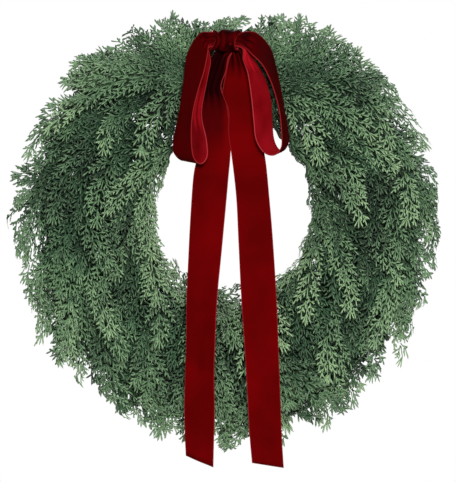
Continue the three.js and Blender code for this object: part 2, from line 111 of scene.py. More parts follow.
# Where the foliage ends
BACKMOST = -4  # foliage past this is flattened, clear of the wall
FLATTENED = 0.9  # the share of what lies past it that is taken away
HOLE_CENTRE = (9, 24)  # sideways and up from the ring's centre
HOLE_HALF_SIZE = (108, 119)
HOLE_SQUARENESS = 2.4  # of its lower half, where 2 would be an ellipse, as its upper half is
HOLE_CORE = 0.2  # the share of its size within which foliage is moved out by the same factor
RIM = 300  # the radius past which foliage is trimmed
RIBS_WITHIN = 12  # how far within the rim ribs end
TIPS_PAST = 6  # and how far past it their leaves may reach
RIM_LEFT = 6  # how much further out the rim is on the left, and how much nearer on the right
RAGGED = 2.5  # how uneven the rim and the hole's edge are
RAGGED_WAVES = ((11, 1, 0), (23, 0.7, 2))  # how many go round the ring, their height and their shift
POINTS_BELOW = (41, 0.5, 3.1)  # and those that show most at the bottom
RAGGED_BELOW = 10  # how uneven they make the rim there
RIM_WAVES = (  # where the rim swells or dips: the turn, how wide and how much
    (-3, 9, -28),
    (28, 16, 8),
    (60, 8, -6),
    (87, 6, -5),
    (101, 6, -6),
    (119, 6, -14),
    (128, 3, 8),
    (139, 4, -18),
    (149, 3, 8),
    (153, 2, -8),
    (158, 2, 6),
    (163, 3, -22),
    (177, 3, -14),
    (181, 3, 16),
    (193, 3, -22),
    (206, 3, -24),
    (216, 4, -18),
    (230, 6, 8),
    (244, 4, -16),
    (263, 6, -13),
    (281, 5, 14),
    (315, 8, 7),
)
TRIMMED_TO = 0.3  # of how far foliage would reach past the rim or into the hole

# The bow, as in the part: stations of the loops' ribbon, its front edge and then its back edge
RIBBON = 1.2  # its thickness
LEFT_LOOP = (
    (-7, -166, 241, -7, -156, 259),
    (-26, -166, 241, -27, -155, 259),
    (-29, -168, 231, -42, -138, 256),
    (-34, -168, 205, -58, -130, 228),
    (-43, -169, 176, -63, -128, 190),
    (-50, -169, 146, -69, -128, 150),
    (-52, -168, 115, -77, -128, 108),
    (-49, -166, 86, -76, -128, 91),
    (-39, -165, 76, -64, -128, 81),
    (-30, -164, 86, -52, -128, 91),
    (-31, -164, 110, -54, -128, 114),
    (-38, -163, 146, -56, -128, 148),
    (-31, -162, 190, -47, -128, 188),
    (-26, -161, 217, -36, -133, 218),
    (-28, -160, 230, -31, -145, 244),
    (-26, -160, 238, -26, -149, 253),
)
RIGHT_LOOP = (
    (16, -160, 238, 16, -149, 253),
    (20, -162, 220, 34, -134, 222),
    (26, -164, 200, 50, -128, 195),
    (31, -165, 165, 58, -127, 165),
    (34, -165, 134, 60, -127, 136),
    (37, -164, 110, 62, -127, 112),
    (47, -163, 93, 68, -126, 98),
    (61, -163, 88, 76, -125, 95),
    (72, -165, 98, 83, -125, 108),
    (73, -168, 118, 81, -125, 130),
    (70, -170, 148, 76, -125, 156),
    (64, -170, 172, 72, -125, 180),
    (57, -169, 192, 65, -126, 212),
    (46, -168, 213, 57, -127, 238),
    (31, -167, 228, 38, -138, 258),
    (16, -166, 241, 16, -155, 259),
    (0, -166, 241, 0, -156, 259),
)
# Stations of the tails' ribbon: one edge and then the other, from the left tail's end to the right one's.
# Near the top it is a little fuller than in the part, and the right tail lies over the left one.
TAILS = (
    (-60, -131, -329, -22, -140, -345),
    (-62, -132, -270, -20, -142, -270),
    (-60, -133, -190, -20, -144, -190),
    (-58, -134, -100, -15, -144, -100),
    (-55, -136, -20, -8, -143, -20),
    (-50, -138, 55, -1, -140, 55),
    (-44, -139, 88, 2, -139, 88),
    (-43, -140, 115, 2, -138.5, 115),
    (-42, -141, 158, -3, -139, 158),
    (-39, -141, 182, -11, -139, 182),
    (-32, -141, 207, -4, -139, 205),
    (-18, -141, 232, -1, -139, 222),
    (4, -142.1, 247, 4, -138, 230),
    (19, -139, 232, 0, -138, 222),
    (31, -139, 207, -4, -141, 205),
    (37, -139, 184, -8, -142, 184),
    (40, -139, 166, -9, -142, 172),
    (43, -139, 148, -1, -142, 150),
    (44, -139, 118, -1, -142, 118),
    (51, -139, 80, 4, -142, 84),
    (56, -139, 30, 10, -140, 30),
    (61, -138, -30, 13, -138, -30),
    (66, -137, -110, 17, -138, -110),
    (69.5, -136, -200, 23, -138, -200),
    (73, -135, -290, 28, -138, -290),
    (76, -134, -346, 32, -138, -339),
)
TAILS_TOP = 11
KNOT_X = -5
KNOT_Z = 247
KNOT_HALF_HEIGHT = 15
KNOT_WIDTH = 40
KNOT_FRONT = -172
KNOT_BACK = -143
TIE_RADIUS = 1.3
TIE_WAY = ((0, -4), (0, 10), (16, 13), (76, -2))  # from behind the tails, each backwards and upwards
TIE_ON_RAIL = ((-12, 1), (1, 0))  # and at the outer rail
TIE_PITCH = 7
BINDING_WIRE = 0.55  # its radius, round a stem and its rail
BINDING_TURNS = 5
BEAD_RADIUS = 2.3  # of weld

# The ribbon, seen close
SELVEDGE = (0.472, 0.492)  # the shares of its width, from its middle, over which it turns lighter
RIBBON_STEPS = 7  # from one station to the next
RIBBON_DIVISIONS = 24
GATHERED_BELOW = 42  # the width under which it lies in folds
FOLDS = 3
FOLD_SWAY = 0.35
FOLDS_AT_SELVEDGE = 0.3  # the share of their depth that is left there
TAIL_FOLDS = 2
TAIL_WAVE = 1.2
TAIL_CUPPED = 1.4
WAVES_BELOW = 120  # the height under which the tails wave and cup
KNOT_STEPS = 44
KNOT_FOLDS = 2.6
KNOT_FOLD_DEPTH = 2.5
KNOT_NARROWING = 0.3  # of its width, at the front
GATHERED_SHADE = 0.45  # how much painted shade darkens the pile where it is tightly gathered
KNOT_SHADE = 0.75  # painted shade in the knot's hollows
UNDER_THE_LOOPS = (-4, 85)  # left of there and above that, the left tail lies under the right one and takes painted shadow
UNDER_THE_LOOPS_SHADE = 0.5
LOOP_TOP = (12, 190)  # right of there and above that, the right loop turns over and takes painted shade
LOOP_TOP_SHADE = 0.3
EDGE_ON_SHADE = 0.65  # where it is seen nearly edge on

# Cedar, seen close: side branches on a main stem, and branchlets on those, some of them forked
FROND_STEM = 0.93  # the share of a frond's length that its main stem takes
STEM_WIDTH = 3.2
STEM_NARROWS = 1.4
STEM_SECTIONS = 8
FIRST_SIDE_BRANCH = 9
BARE_END = 8  # how far before the stem's end the last side branch leaves it
END_BRANCHLETS = (-26, 0, 26)
SIDE_BRANCH = 43
SIDE_BRANCH_ANGLE = 47
SIDE_BRANCH_CURL = 0.45  # how far it turns forwards by its end, in radians
BRANCHLET_ANGLE = 36
BRANCHLET_TAPER = 0.6  # of their length, that branchlets lose towards the side branch's end
FORKED_FROM = 6  # the length from which a branchlet has a finger, and twice that for two
FINGERS_AT = (0.3, 0.56)  # the shares of the branchlet's length
FINGERS_END = 0.72
ARCH = 0.0053  # how far side branches bend back, by the square of their way out from the stem

# The fineness of a frond: the spacing of its side branches, its branchlets' length, width and spacing and
# whether they have fingers. Then its tone, lower for the deeper grains as painted shade, how far it may
# hang past the rim at the bottom, and how far it is set back, to fill the space in front of the rails
Grain = namedtuple("Grain", "side_spacing branchlet width spacing fingers tone hangs back")
OUTER_GRAIN = Grain(19, 15, 2.6, 4.0, True, 0.9, 32, 0)
DEEP_GRAIN = Grain(20, 17, 3.6, 4.8, False, 0.5, 6.4, 0)
CORE_GRAIN = Grain(17, 21, 7, 8, False, 0.25, 6.4, 22)

# Fronds added to those of the part: the lean in degrees, the share of the spray's length, how far out in
# the body's section they end, and the grain
FILLERS = (
    (11, 0.84, 0.8, DEEP_GRAIN),
    (-12, 0.86, 0.76, DEEP_GRAIN),
    (31, 0.74, 0.64, DEEP_GRAIN),
    (-32, 0.7, 0.68, DEEP_GRAIN),
    (9, 0.62, 0.52, CORE_GRAIN),
    (-9, 0.62, 0.46, CORE_GRAIN),
    (0, 0.9, 0.4, CORE_GRAIN),
)
ON_THE_CROWN = (  # down over the ring's inside, and one upwards
    (-138, 0.56, 1.0, OUTER_GRAIN),
    (-165, 0.62, 0.95, OUTER_GRAIN),
    (-192, 0.6, 0.9, DEEP_GRAIN),
    (80, 0.5, 0.85, DEEP_GRAIN),
)
BESIDE_THE_TOP = 12 * DEGREE
OUT_BESIDE_THE_TOP = (  # outwards, on crown sprays further from the top than that
    (12, 0.98, 1.25, OUTER_GRAIN),
    (22, 0.98, 1.25, OUTER_GRAIN),
    (31, 0.98, 1.25, OUTER_GRAIN),
    (38, 0.85, 1.25, OUTER_GRAIN),
)
AT_THE_TOP = (  # aside and upwards, on those nearer to it
    (-34, 1.0, 1.0, OUTER_GRAIN),
    (-31, 0.96, 1.1, OUTER_GRAIN),
    (-27, 0.92, 1.1, OUTER_GRAIN),
    (46, 0.7, 1.0, OUTER_GRAIN),
    (66, 0.6, 1.0, OUTER_GRAIN),
)
INSIDE_THE_TOP = (  # towards the hole, on the inner row's topmost sprays
    (-30, 0.85, 1.0, DEEP_GRAIN),
    (-41, 0.8, 0.95, OUTER_GRAIN),
    (-52, 0.62, 0.95, OUTER_GRAIN),
    (-64, 0.68, 0.95, DEEP_GRAIN),
    (-74, 0.58, 0.9, DEEP_GRAIN),
)
OVER_THE_HOLE = (  # back towards the bow, on the hole row's topmost
    (115, 0.36, 1.0, OUTER_GRAIN),
    (150, 0.38, 1.0, OUTER_GRAIN),
    (185, 0.34, 1.0, DEEP_GRAIN),
)
SHOULDER = 62 * DEGREE
AT_THE_SHOULDER = (  # outwards, on outer and edge sprays above that
    (20, 0.8, 1.0, OUTER_GRAIN),
    (42, 0.72, 1.0, OUTER_GRAIN),
    (58, 0.6, 1.0, OUTER_GRAIN),
)
HAUNCH = 115 * DEGREE
AT_THE_SIDE = (  # outwards, on edge sprays from there down to that
    (3, 0.8, 1.3, OUTER_GRAIN),
    (14, 0.94, 1.3, OUTER_GRAIN),
    (27, 0.85, 1.3, OUTER_GRAIN),
)
AT_THE_BOTTOM = (  # up to the hole's lower edge, on the inner row's lowest
    (-118, 0.5, 2.2, OUTER_GRAIN),
    (-145, 0.5, 2.2, OUTER_GRAIN),
    (-168, 0.5, 2.2, OUTER_GRAIN),
    (-195, 0.5, 2.2, OUTER_GRAIN),
)
STANDING_OUT = (  # single ones of outer grain at the rim, each after the spray that it belongs to
    ("cedar_crown_left_2", 20, 0.8, 1.4),
    ("cedar_edge_left_1", 15, 1.2, 1.0),
    ("cedar_edge_left_1", 40, 1.0, 1.2),
    ("cedar_edge_left_3", 60, 0.9, 1.0),
    ("cedar_edge_left_4", -5, 1.0, 1.0),
    ("cedar_edge_left_5", 40, 1.0, 1.0),
    ("cedar_edge_left_7", 15, 0.8, 1.4),
    ("cedar_inner_left_5", -5, 1.2, 1.0),
    ("cedar_inner_left_6", -15, 1.2, 1.2),
    ("cedar_outer_left_1", 15, 0.8, 1.4),
    ("cedar_outer_left_1", 28, 1.0, 1.2),
    ("cedar_outer_left_3", 65, 1.0, 1.4),
    ("cedar_outer_left_5", 15, 0.8, 1.4),
    ("cedar_crown_right_2", 15, 1.2, 1.0),
    ("cedar_edge_right_4", 50, 1.2, 1.2),
    ("cedar_edge_right_5", -5, 0.8, 1.0),
    ("cedar_edge_right_6", -40, 1.0, 1.4),
    ("cedar_inner_right_1", 35, 1.2, 1.0),
    ("cedar_outer_right_1", 55, 1.0, 1.2),
    ("cedar_outer_right_3", 15, 0.8, 1.4),
    ("cedar_outer_right_7", 50, 1.0, 1.4),
)
FILLED_FURTHER = 26  # how much further those of outer grain may reach than the part's, before trimming
SET_BACK_OVER = 40  # the first stretch of a rib, over which a frond is set back
SUNK = 2  # how far added fronds lie within the body's section
DEEPEST = 0.5  # the share of the body's section where the painted shade makes foliage darkest


# The part's layout: places on the foliage's body, and the ribs, forks and stems of its sprays
Place = namedtuple("Place", "hand turn side reach lean fill")


def draw(seed):
    """A repeatable draw from -1 to 1."""
    x = math.sin(seed * 12.9898) * 43758.5453
    return 2 * (x - math.floor(x)) - 1


def body_point(place):
    """A place's point in the body's section."""
    radius = BODY_RADIUS + place.fill * BODY_HALF_WIDTH * math.sin(place.side) + place.reach
    y = BODY_AXIS_Y - place.fill * BODY_HALF_DEPTH * math.cos(place.side)
    return np.array((radius * math.sin(place.turn), y, radius * math.cos(place.turn)))


def way_out(place):
    """The way straight out of the body's section there."""
    radial = math.sin(place.side) / BODY_HALF_WIDTH
    forward = math.cos(place.side) / BODY_HALF_DEPTH
    way = np.array((radial * math.sin(place.turn), -forward, radial * math.cos(place.turn)))
    return way / np.linalg.norm(way)


def facing(place):
    """The way that a frond faces there, further forwards than straight out."""
    angle = FACING * place.side
    radial = math.sin(angle)
    return np.array((radial * math.sin(place.turn), -math.cos(angle), radial * math.cos(place.turn)))


def combing(place):
    """The angle that the foliage is combed to, which is straight down on the ring's lower half."""
    away = abs(place.turn)
    if away > math.pi / 2:
        return away - math.pi / 2 + COMBED_ALL_ROUND * DEGREE
    above = COMBED_ABOVE + COMBED_ABOVE_AT_RIM * math.sin(place.side) + place.lean
    parting = COMBED_AT_PARTING * math.exp(-((away / PARTING) ** 2))
    return (COMBED_ALL_ROUND + above * math.cos(away) ** 2 + parting) * DEGREE


def stepped(place, distance, lean, fill):
    """The place that far on along a frond, with its rib at that fill of the section."""
    angle = combing(place) + lean
    width = BODY_HALF_WIDTH * fill
    radius = BODY_RADIUS + width * math.sin(place.side) + place.reach
    section = math.hypot(width * math.cos(place.side), BODY_HALF_DEPTH * fill * math.sin(place.side))
    outwards = distance * math.sin(angle)
    free = place.side > HANGS_FREE_PAST and outwards > 0
    return place._replace(
        turn=place.turn + place.hand * distance * math.cos(angle) / radius,
        side=place.side + (0 if free else outwards / section),
        reach=place.reach + (outwards if free else 0),
        fill=fill,
    )


def rib_places(fork, length, lean, fullest=1.0):
    """The places along a rib, whose fill goes from the fork's to the fullest."""
    steps = math.floor(length / PITCH + 0.5)
    places = [fork]
    for k in range(1, steps + 1):
        share = k / steps * length / SPRAY_LENGTH
        fill = fork.fill + (fullest - fork.fill) * share
        places.append(stepped(places[-1], length / steps, lean, fill))
    return places


def allowed_reach(turn):
    """How far past the body fronds may reach at that turn."""
    down = -math.cos(turn)
    if down > 0:
        return SIDE_REACH + down**2 * (BOTTOM_REACH - SIDE_REACH)
    return SIDE_REACH - down * (TOP_REACH - SIDE_REACH)


def frond_length(share, fork, lean, spread, further=0):
    """How long a frond may be before it reaches too far past the body."""
    length = SPRAY_LENGTH * share * spread
    while True:
        tip = rib_places(fork, length, lean)[-1]
        if tip.reach <= allowed_reach(tip.turn) * spread + further or length < SHORTEST:
            return length
        length *= SHORTENING


def rib(fork, length, lean, lift, fullest=1.0):
    """A rib's points from the fork to its end, and the ways its frond faces at them."""
    places = rib_places(fork, length, lean, fullest)
    steps = len(places) - 1
    points = [
        body_point(place) + way_out(place) * lift * min(1, k / steps / LIFTED_BY)
        for k, place in enumerate(places)
    ]
    points[-1] = points[-2] + (points[-1] - points[-2]) * TIP
    return np.array(points), np.array([facing(place) for place in places])


def forks_of(row, index, hand):
    """The forks that the part tries for one spray of a row, each with how long its fronds are."""
    seed = index * 7.31 + row.side + hand
    step = (row.last - row.first) / max(1, row.count - (1 if hand > 0 else 0.5))
    spread = 1 + 0.07 * draw(seed + 2)
    side = row.side + 5 * draw(seed + 1)
    for side_nudge in SIDE_NUDGES:
        for turn_nudge in TURN_NUDGES:
            turn = max(row.first, row.first + step * index + 1.5 * draw(seed) + turn_nudge)
            fork = Place(hand, hand * turn * DEGREE, side * DEGREE, 0, row.lean, row.fill)
            inwards = FORK_SHIFT * max(0, math.sin(combing(fork)))
            yield fork._replace(side=max(INMOST_FORK, side + side_nudge - inwards) * DEGREE), spread


def stem_path(fork, shift):
    """A stem's points, from its seat along the nearer rail to its fork."""
    root = body_point(fork)
    middle_of_rails = (OUTER_RAIL + INNER_RAIL) / 2
    rail = INNER_RAIL if math.hypot(root[0], root[2]) < middle_of_rails else OUTER_RAIL
    room = abs(fork.turn) * rail - SEAT_LENGTH - STEM_APART
    run = min(STEM_RUN * math.cos(combing(fork)) + shift, room)

    def on_rail(behind):
        turn = fork.turn - fork.hand * (run + behind) / rail
        y = -(WIRE / 2 + GAP + STEM_RADIUS * math.sqrt(0.5))
        return np.array((rail * math.sin(turn), y, rail * math.cos(turn)))

    seat = on_rail(0)
    ahead = body_point(stepped(fork, STEM_ENDS, 0, fork.fill))
    middle = (seat + root) / 2 + way_out(fork) * STEM_BULGE
    return [on_rail(SEAT_LENGTH), seat, middle, root, ahead]


# Reading the part: which of the places that it tries each of its sprays was given
def points_at(tree, centre, distance):
    """How many of the part's points lie that far from a place."""
    near = tree.find_range(Vector(centre), distance + MATCHES_WITHIN)
    return sum(abs(found[2] - distance) < MATCHES_WITHIN for found in near)


def matched_fronds(tree, fork, spread):
    """The fronds of a fork whose ends are among the part's points, each with its lean, length and lift."""
    found = []
    for frond in FRONDS:
        best = (MATCHES_WITHIN, None)
        for sway in SWAYS:
            lean = (frond.lean + sway) * DEGREE
            whole = frond_length(frond.length, fork, lean, spread)
            for cut in CUTS:
                for bend in BENDS:
                    points, ways = rib(fork, cut * whole, lean, frond.rise + bend)
                    faces = [points[-1] + side * ways[-1] * BLADE / 2 for side in (1, -1)]
                    off = max(tree.find(Vector(face))[2] for face in faces)
                    if off < best[0]:
                        best = (off, (lean, cut * whole, frond.rise + bend))
        if best[1]:
            found.append(best[1])
    return found


Spray = namedtuple("Spray", "node fork spread shift fronds")


def spray_of(node):
    """How the part laid out one of its sprays."""
    _, row, side, number = node.split("_")
    corners = [Vector(np.array(v.co) / MM - RING_CENTRE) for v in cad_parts[node].data.vertices]
    tree = kdtree.KDTree(len(corners))
    for i, corner in enumerate(corners):
        tree.insert(corner, i)
    tree.balance()
    forks = list(forks_of(ROWS[row], int(number) - 1, 1 if side == "right" else -1))
    end_radius = STEM_RADIUS * STEM_TAPER[-1]
    forks.sort(key=lambda tried: -points_at(tree, stem_path(tried[0], 0)[-1], end_radius))
    best = (0, None)
    for fork, spread in forks[:LIKELY_FORKS]:
        fronds = matched_fronds(tree, fork, spread)
        if len(fronds) > best[0]:
            best = (len(fronds), (fork, spread, fronds))
    fork, spread, fronds = best[1]

    def seats_at(shift):
        return sum(points_at(tree, end, STEM_RADIUS) for end in stem_path(fork, shift)[:2])

    return Spray(node, fork, spread, max(SHIFTS, key=seats_at), fronds)


sprays = [spray_of(node) for node in sorted(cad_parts) if node.startswith("cedar_")]


# Shapes as arrays: points, faces as tuples of point numbers, and how near its branchlet's tip each point is
Shape = namedtuple("Shape", "points faces tips")


def unselect_all():
    for thing in bpy.context.selected_objects:
        thing.select_set(False)


def shape_of(thing):
    """A modelled object's shape, its tips measured along +Y, and the object itself removed."""
    bpy.ops.object.transform_apply(location=True, rotation=True, scale=True)
    points = np.array([vertex.co for vertex in thing.data.vertices])
    faces = [tuple(face.vertices) for face in thing.data.polygons]
    bpy.data.objects.remove(thing)
    return Shape(points, faces, np.clip(points[:, 1], 0, 1))


def cone(radius, far_radius, length, turned):
    """A three-sided cone from the origin along +Y."""
    unselect_all()
    bpy.ops.mesh.primitive_cone_add(
        vertices=3,
        radius1=radius,
        radius2=far_radius,
        depth=length,
        location=(0, length / 2, 0),
        rotation=(turned, 0, 0),
    )
    return bpy.context.object


def modelled_branchlet():
    """A branchlet with a ridge, 1 long and 1 wide: widest near its blunt tip."""
    thing = cone(0.58, 0.4, 0.74, math.pi / 2)
    bpy.ops.object.transform_apply(location=True, rotation=True, scale=True)
    for face in thing.data.polygons:
        face.select = face.normal.y > 0.9
    for edge in thing.data.edges:
        edge.select = all(thing.data.vertices[i].co.y > 0.7 for i in edge.vertices)
    for vertex in thing.data.vertices:
        vertex.select = vertex.co.y > 0.7
    bpy.ops.object.mode_set(mode="EDIT")
    bpy.ops.mesh.extrude_region_move(TRANSFORM_OT_translate={"value": (0, 0.26, 0)})
    bpy.ops.mesh.merge(type="CENTER")
    bpy.ops.mesh.select_all(action="SELECT")
    bpy.ops.mesh.normals_make_consistent(inside=False)
    bpy.ops.object.mode_set(mode="OBJECT")
    thing.scale = (1, 1, 0.6)
    return shape_of(thing)


def modelled_twig():
    """A side branch's own stem, 1 long and 1 wide, a little slimmer at its far end."""
    thing = cone(0.5, 0.36, 1, -math.pi / 2)
    thing.scale = (1, 1, 0.7)
    return shape_of(thing)


BRANCHLET_SHAPE = modelled_branchlet()
TWIG_SHAPE = modelled_twig()


def copies(shape, at, heading, tilt, length, width, roots=0.0):
    """Copies of a shape laid flat: each place, the turn from the frond's own direction, and the size."""
    given = (at, heading, tilt, length, width)
    at, heading, tilt, length, width = (np.asarray(values, float) for values in given)
    x = shape.points[None, :, 0] * width[:, None]
    y = shape.points[None, :, 1] * length[:, None]
    z = shape.points[None, :, 2] * width[:, None] + y * np.sin(tilt)[:, None]
    sine, cosine = np.sin(heading)[:, None], np.cos(heading)[:, None]
    points = np.stack((x * cosine + y * sine, y * cosine - x * sine, z), axis=2) + at[:, None, :]
    faces = []
    for k in range(len(at)):
        first = k * len(shape.points)
        faces += [tuple(first + i for i in face) for face in shape.faces]
    tips = roots + (1 - roots) * np.tile(shape.tips, len(at))
    return Shape(points.reshape(-1, 3), faces, tips)


def together(shapes):
    """Several shapes as one."""
    faces = []
    first = 0
    for shape in shapes:
        faces += [tuple(first + i for i in face) for face in shape.faces]
        first += len(shape.points)
    return Shape(
        np.concatenate([shape.points for shape in shapes]),
        faces,
        np.concatenate([shape.tips for shape in shapes]),
    )


def flat_frond(length, grain):
    """A frond laid flat: its stem along +Y from the fork, with side branches and their branchlets."""
    reach = (length / SPRAY_LENGTH) ** 0.3
    end = length * FROND_STEM
    twigs = []
    branchlets = []
    for hand in (1, -1):
        y = FIRST_SIDE_BRANCH + grain.side_spacing * (0.5 if hand > 0 else 0) + rng.uniform(-2, 2)
        while y < end - BARE_END:
            share = y / end
            taper = 1 - 0.8 * share**2.2
            side = SIDE_BRANCH * taper * reach * rng.uniform(0.75, 1.1) * min(1, 0.55 + y / 60)
            add_side_branch(twigs, branchlets, (0, y), hand, side, SIDE_BRANCH_ANGLE - 10 * share, grain)
            y += grain.side_spacing * rng.uniform(0.8, 1.2)
    last = np.array((0, end - BARE_END, 0))
    for turned in END_BRANCHLETS:
        branchlets.append((last, turned * DEGREE, 0.0, grain.branchlet, grain.width))
    run = end - 4
    for k in range(STEM_SECTIONS):
        start = np.array((0, -2 + run * k / STEM_SECTIONS, 0))
        width = STEM_WIDTH - STEM_NARROWS * k / STEM_SECTIONS
        twigs.append((start, 0.0, 0.0, run / STEM_SECTIONS + 1.5, width))
    stems = copies(TWIG_SHAPE, *zip(*twigs))
    leaves = copies(BRANCHLET_SHAPE, *zip(*branchlets), roots=0.25)
    return together([stems, leaves])


def add_side_branch(twigs, branchlets, root, hand, side, angle, grain):
    """A side branch that curls forwards, with its branchlets in turn on either side of it."""
    leaves = (angle + rng.uniform(-7, 7)) * DEGREE
    curl = SIDE_BRANCH_CURL * rng.uniform(0.3, 1.6)
    rise = rng.uniform(-0.24, 0.3)

    def at(far):
        heading = leaves - curl * far / side / 2
        x = root[0] + hand * far * math.sin(heading)
        y = root[1] + far * math.cos(heading)
        return np.array((x, y, rise * far))

    def heading_at(far):
        return hand * (leaves - curl * far / side)

    middle = side / 2
    twigs.append((at(0), heading_at(middle / 2), rise, middle + 0.8, grain.width * 0.95))
    twigs.append((at(middle), heading_at(1.5 * middle), rise, middle - 1, grain.width * 0.75))
    inner = 1 if rng.random() < 0.5 else -1
    far = rng.uniform(3.5, 6.5)
    while far < side - 2:
        inner = -inner
        turned = heading_at(far) + inner * (BRANCHLET_ANGLE + rng.uniform(-8, 8)) * DEGREE
        size = grain.branchlet * (1 - BRANCHLET_TAPER * far / side) * rng.uniform(0.75, 1.2)
        tilt = rng.uniform(-0.15, 0.35)
        width = grain.width * rng.uniform(0.88, 1.12)
        place = at(far)
        branchlets.append((place, turned, tilt, size, width))
        ahead = np.array((math.sin(turned), math.cos(turned), math.sin(tilt)))
        fork = 1 if rng.random() < 0.5 else -1
        for part in FINGERS_AT[: int(size / FORKED_FROM)] if grain.fingers else ():
            finger = turned + fork * rng.uniform(28, 40) * DEGREE
            start = place + ahead * part * size
            branchlets.append((start, finger, tilt, (FINGERS_END - part) * size, 0.9 * width))
            fork = -fork
        far += grain.spacing * rng.uniform(0.8, 1.2)
    branchlets.append((at(side - 2), heading_at(side), 0.0, grain.branchlet * 0.7, grain.width))


def smooth(points, fine):
    """A smooth line through points, with as many pieces from one to the next."""
    points = np.asarray(points, float)
    padded = np.concatenate((2 * points[:1] - points[1:2], points, 2 * points[-1:] - points[-2:-1]))
    line = []
    for k in range(len(points) - 1):
        a, b, c, d = padded[k : k + 4]
        for t in np.arange(fine) / fine:
            squared = 2 * a - 5 * b + 4 * c - d
            cubed = 3 * b - a - 3 * c + d
            line.append(0.5 * (2 * b + (c - a) * t + squared * t**2 + cubed * t**3))
    line.append(points[-1])
    return np.array(line)


def unit(vectors):
    return vectors / np.linalg.norm(vectors, axis=-1, keepdims=True)


def travelled_along(line):
    """How far along a line each of its points is."""
    steps = np.linalg.norm(np.diff(line, axis=0), axis=1)
    return np.concatenate(([0], np.cumsum(steps)))


def rising(values, start, over):
    """From 0 at a start to 1 that far on."""
    return np.clip((values - start) / over, 0, 1)


def kept_in(points, slack, hangs):
    """Points brought back to the foliage's rim and out of its hole."""
    kept = points.copy()
    turn = np.arctan2(points[:, 0], points[:, 2])
    count, height, shift = POINTS_BELOW
    points_below = np.sin(count * turn + shift)
    ragged = sum(high * np.sin(many * turn + moved) for many, high, moved in RAGGED_WAVES)
    ragged = ragged + height * points_below
    from_middle = points[:, 0::2] - HOLE_CENTRE
    squareness = np.where(from_middle[:, 1] < 0, HOLE_SQUARENESS, 2)
    across, up = np.abs(from_middle / HOLE_HALF_SIZE).T
    share = (across**squareness + up**squareness) ** (1 / squareness)
    share += RAGGED * ragged / HOLE_HALF_SIZE[0]
    trimmed = np.where(share < 1, (1 - (1 - share) * TRIMMED_TO) / np.maximum(share, HOLE_CORE), 1)
    kept[:, 0::2] = HOLE_CENTRE + from_middle * trimmed[:, None]
    radius = np.hypot(kept[:, 0], kept[:, 2])
    rim = RIM + slack + RAGGED * ragged - RIM_LEFT * np.sin(turn)
    rim += (hangs + RAGGED_BELOW * points_below) * np.clip(-np.cos(turn), 0, 1) ** 2
    for at, width, height in RIM_WAVES:
        away = (turn - at * DEGREE + math.pi) % (2 * math.pi) - math.pi
        rim += height * np.exp(-((away / (width * DEGREE)) ** 2))
    kept[:, 0::2] *= np.where(radius > rim, TRIMMED_TO + (1 - TRIMMED_TO) * rim / radius, 1)[:, None]
    return kept


def bent_along(shape, line, ways, length, grain):
    """A flat frond bent along its rib, clear of the wall and the hole and within the rim."""
    line = kept_in(line, -RIBS_WITHIN - grain.back, grain.hangs)
    along = unit(np.gradient(line, axis=0))
    right = unit(np.cross(along, ways))
    out = np.cross(right, along)
    travelled = travelled_along(line)
    y = shape.points[:, 1] * travelled[-1] / (length * FROND_STEM)
    inside = np.clip(y, 0, travelled[-1])

    def at(values):
        return np.stack([np.interp(inside, travelled, values[:, i]) for i in range(3)], axis=1)

    x, z = shape.points[:, 0:1], shape.points[:, 2:3]
    points = at(line) + at(along) * (y - inside)[:, None] + at(right) * x + at(out) * (z - ARCH * x**2)
    points[:, 1] += grain.back * rising(inside, 0, SET_BACK_OVER)
    points[:, 1] -= FLATTENED * np.maximum(0, points[:, 1] - BACKMOST)
    return shape._replace(points=kept_in(points, TIPS_PAST, grain.hangs))


def tube(line, radii, sides, start_way):
    """A round closed tube along a line."""
    line = np.asarray(line, float)
    along = unit(np.gradient(line, axis=0))
    across = unit(np.cross(along, start_way))
    up = np.cross(across, along)
    angles = 2 * math.pi * np.arange(sides) / sides
    rings = (
        line[:, None, :]
        + np.cos(angles)[None, :, None] * across[:, None, :] * np.asarray(radii)[:, None, None]
        + np.sin(angles)[None, :, None] * up[:, None, :] * np.asarray(radii)[:, None, None]
    )
    faces = []
    for ring in range(len(line) - 1):
        for i in range(sides):
            a, b = ring * sides + i, ring * sides + (i + 1) % sides
            faces.append((a, a + sides, b + sides, b))
    last = (len(line) - 1) * sides
    faces.append(tuple(range(sides)))
    faces.append(tuple(last + i for i in reversed(range(sides))))
    return Shape(rings.reshape(-1, 3), faces, np.zeros(len(line) * sides))


def mesh_object(name, shape, material):
    """An object of a shape in millimetres from the ring's centre, in its place in the part's frame."""
    mesh = bpy.data.meshes.new(name)
    mesh.from_pydata(((shape.points + RING_CENTRE) * MM).tolist(), [], shape.faces)
    mesh.materials.append(material)
    mesh.shade_smooth()
    thing = bpy.data.objects.new(name, mesh)
    bpy.context.scene.collection.objects.link(thing)
    return thing


def float_attribute(thing, name, values):
    """A value for each point, which materials read by its name."""
    made = thing.data.attributes.new(name, "FLOAT", "POINT")
    made.data.foreach_set("value", np.asarray(values, np.float32))


# Nodes of the materials
def colour(r, g, b):
    """A colour given in the usual 0 to 255, in the shader's linear light."""
    linear = [c / 255 / 12.92 if c <= 10 else ((c / 255 + 0.055) / 1.055) ** 2.4 for c in (r, g, b)]
    return (*linear, 1)


def new_material(name):
    """A material, its tree of nodes and its shader."""
    material = bpy.data.materials.new(name)
    material.use_nodes = True
    tree = material.node_tree
    return material, tree, tree.nodes["Principled BSDF"]


def fill_in(tree, made, inputs):
    """Each of these inputs of a node is linked to an output, or else given a value."""
    for key, value in inputs.items():
        if isinstance(value, bpy.types.NodeSocket):
            tree.links.new(value, made.inputs[key])
        else:
            made.inputs[key].default_value = value


def node(tree, kind, inputs=None, **settings):
    made = tree.nodes.new(kind)
    for key, value in settings.items():
        setattr(made, key, value)
    fill_in(tree, made, inputs or {})
    return made


def object_place(tree):
    """The place on the piece, in metres."""
    return node(tree, "ShaderNodeTexCoord").outputs["Object"]


